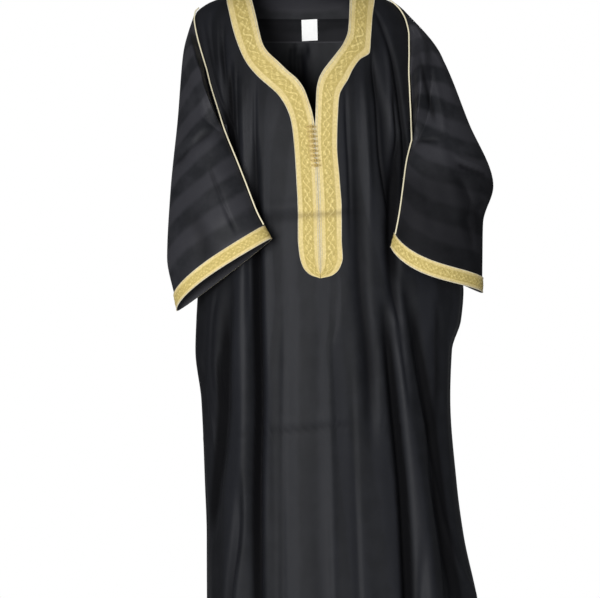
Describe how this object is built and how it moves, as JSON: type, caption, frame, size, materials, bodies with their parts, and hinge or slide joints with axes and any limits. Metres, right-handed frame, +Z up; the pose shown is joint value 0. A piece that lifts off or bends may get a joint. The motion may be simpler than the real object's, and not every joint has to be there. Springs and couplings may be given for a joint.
{
  "type": "thobe",
  "caption": "Ankle-length black satin gown with wide elbow-length sleeves, V neck and closed placket edged in gold galloon, gold cuff bands and piping, filled out as worn.",
  "frame": {"origin": "middle of the neck, level with the shoulder seams, where the wearer's shoulders and neck hold the garment", "axes": "+Z up, +X towards the wearer's left, on the right as seen from the front, which node names call right; the front faces -Y"},
  "size_m": [0.6486, 0.3342, 1.4494],
  "materials": {
    "satin": "black satin with tonal woven stripes about 38 mm wide",
    "galloon": "gold braid with raised embroidered relief and pale edge cords",
    "piping": "twisted pale gold cord",
    "knots": "knotted gold cord buttons",
    "facing": "black satin facing",
    "label": "bare white woven tape"
  },
  "bodies": {
    "root": {"front_panel": "satin", "back_panel": "satin", "sleeve_left": "satin", "cuff_band_left": "galloon", "galloon_left": "galloon", "piping_left": "piping", "sleeve_right": "satin", "cuff_band_right": "galloon", "galloon_right": "galloon", "piping_right": "piping", "galloon_back": "galloon", "neck_facing": "facing", "label": "label", "knot_1": "knots", "knot_2": "knots", "knot_3": "knots", "knot_4": "knots", "knot_5": "knots", "knot_6": "knots", "knot_7": "knots", "knot_8": "knots", "knot_9": "knots"}
  },
  "joints": []
}
